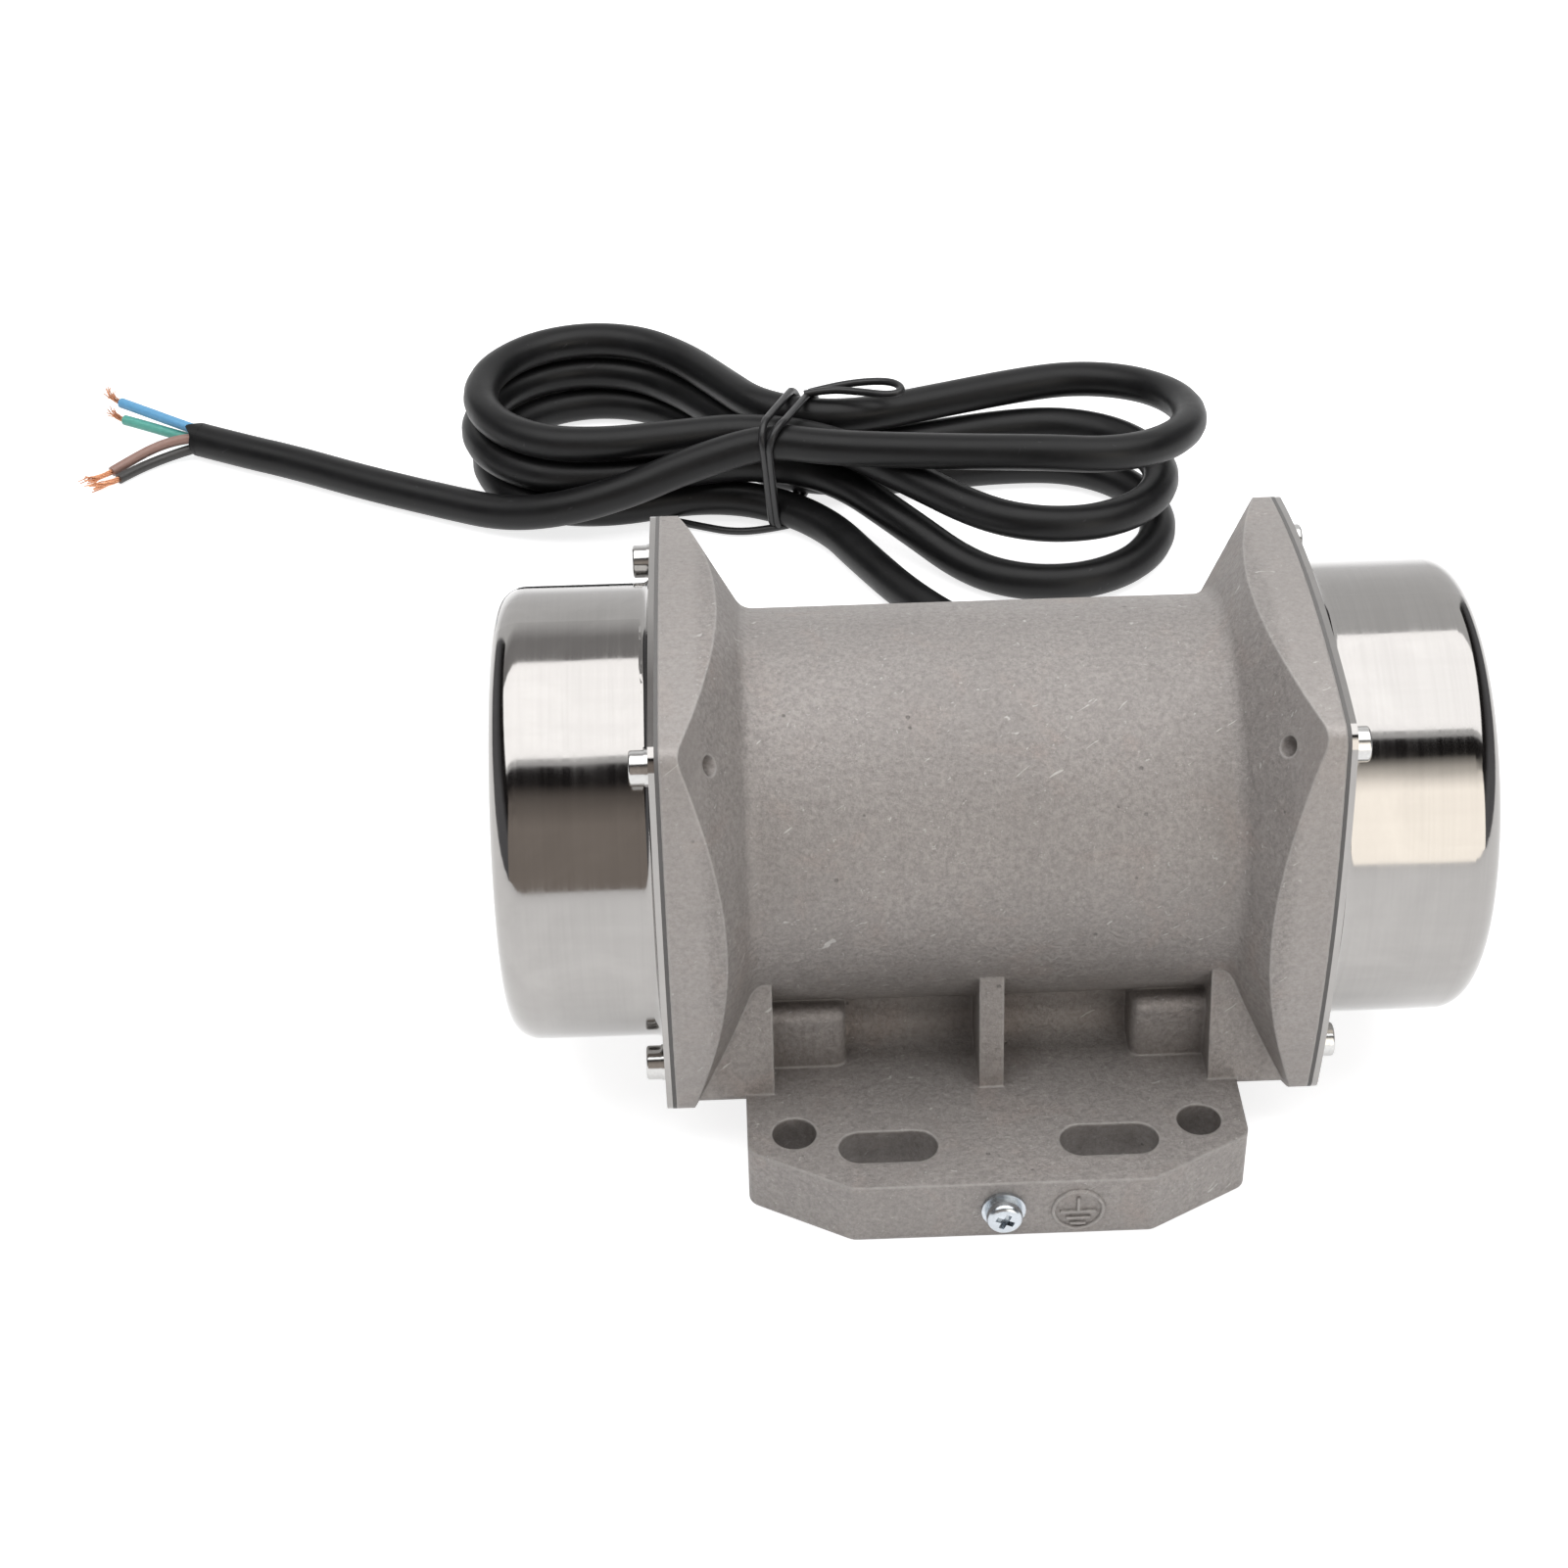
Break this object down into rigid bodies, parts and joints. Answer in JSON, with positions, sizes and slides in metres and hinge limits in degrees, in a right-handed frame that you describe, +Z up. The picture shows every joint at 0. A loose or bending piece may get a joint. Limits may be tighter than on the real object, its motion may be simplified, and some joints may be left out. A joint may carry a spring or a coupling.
{
  "type": "vibration motor",
  "caption": "External vibration motor: cast barrel housing on a slotted foot, polished end covers over adjustable eccentric weights on the shaft ends, and a tied rubber power cord.",
  "frame": {"origin": "centre of the foot's underside, under the middle of the shaft", "axes": "+X along the shaft to the viewer's right, +Z up, -Y towards the side with the earth screw; the power cord leaves towards +Y"},
  "size_m": [0.3353, 0.358, 0.1063],
  "materials": {
    "cast_aluminium": "sand-cast grey, matte, fine grain",
    "polished_cover": "mirror polished stainless sheet",
    "gasket_rubber": "thin black gasket",
    "nickel_screw": "nickel plated",
    "zinc_screw": "bright zinc plated",
    "machined_aluminium": "turned",
    "lamination_steel": "stacked sheet",
    "copper_winding": "varnished copper wire",
    "shaft_steel": "ground steel",
    "bearing_steel": "polished bearing steel",
    "cage_steel": "pressed cage",
    "weight_steel": "flame-cut and turned steel",
    "gland_nickel": "nickel plated brass",
    "cord_rubber": "matte black rubber",
    "wire_blue": "core insulation",
    "wire_green": "core insulation",
    "wire_brown": "core insulation",
    "wire_black": "core insulation",
    "bare_copper": "fine bare copper strands",
    "tie_plastic": "black plastic coated wire tie"
  },
  "bodies": {
    "motor": {"housing": "cast_aluminium", "wave_spring": "bearing_steel", "stator_core": "lamination_steel", "stator_winding": "copper_winding", "earth_flat_washer": "zinc_screw", "earth_spring_washer": "zinc_screw", "earth_screw": "zinc_screw", "gland_body": "gland_nickel", "gland_nut": "gland_nickel", "gland_seal": "gasket_rubber", "power_cord_lead": "cord_rubber", "power_cord_hank": "cord_rubber", "power_cord_tail": "cord_rubber", "core_blue": "wire_blue", "core_green": "wire_green", "core_brown": "wire_brown", "core_black": "wire_black", "core_strands": "bare_copper", "cord_tie": "tie_plastic", "cover_gasket_left": "gasket_rubber", "cover_left": "polished_cover", "cover_washers_left": "nickel_screw", "cover_screws_left": "nickel_screw", "end_shield_left": "machined_aluminium", "end_shield_screws_left": "zinc_screw", "bearing_outer_race_left": "bearing_steel", "cover_gasket_right": "gasket_rubber", "cover_right": "polished_cover", "cover_washers_right": "nickel_screw", "cover_screws_right": "nickel_screw", "end_shield_right": "machined_aluminium", "end_shield_screws_right": "zinc_screw", "bearing_outer_race_right": "bearing_steel"},
    "rotor": {"shaft": "shaft_steel", "rotor_core": "lamination_steel", "rotor_cage": "machined_aluminium", "bearing_inner_race_left": "bearing_steel", "weight_key_left": "shaft_steel", "fixed_weight_left": "weight_steel", "fixed_weight_bolt_left": "zinc_screw", "retaining_ring_left": "shaft_steel", "bearing_inner_race_right": "bearing_steel", "weight_key_right": "shaft_steel", "fixed_weight_right": "weight_steel", "fixed_weight_bolt_right": "zinc_screw", "retaining_ring_right": "shaft_steel"},
    "left_balls": {"bearing_balls_left": "bearing_steel", "bearing_cage_left": "cage_steel"},
    "left_weight": {"adjustable_weight_left": "weight_steel", "adjustable_weight_bolt_left": "zinc_screw"},
    "right_balls": {"bearing_balls_right": "bearing_steel", "bearing_cage_right": "cage_steel"},
    "right_weight": {"adjustable_weight_right": "weight_steel", "adjustable_weight_bolt_right": "zinc_screw"}
  },
  "joints": [
    {"name": "rotor_spin", "type": "hinge", "parent": "motor", "child": "rotor", "pos_m": [0, 0, 0.057], "axis": [1, 0, 0], "continuous": true},
    {"name": "left_balls_roll", "type": "hinge", "parent": "motor", "child": "left_balls", "pos_m": [0, 0, 0.057], "axis": [1, 0, 0], "continuous": true},
    {"name": "left_weight_setting", "type": "hinge", "parent": "rotor", "child": "left_weight", "pos_m": [0, 0, 0.057], "axis": [1, 0, 0], "range_deg": [0, 180]},
    {"name": "right_balls_roll", "type": "hinge", "parent": "motor", "child": "right_balls", "pos_m": [0, 0, 0.057], "axis": [1, 0, 0], "continuous": true},
    {"name": "right_weight_setting", "type": "hinge", "parent": "rotor", "child": "right_weight", "pos_m": [0, 0, 0.057], "axis": [1, 0, 0], "range_deg": [0, 180]}
  ],
  "couplings": [
    {"joint": "left_balls_roll", "follows": "rotor_spin", "ratio": 0.382},
    {"joint": "right_balls_roll", "follows": "rotor_spin", "ratio": 0.382}
  ]
}
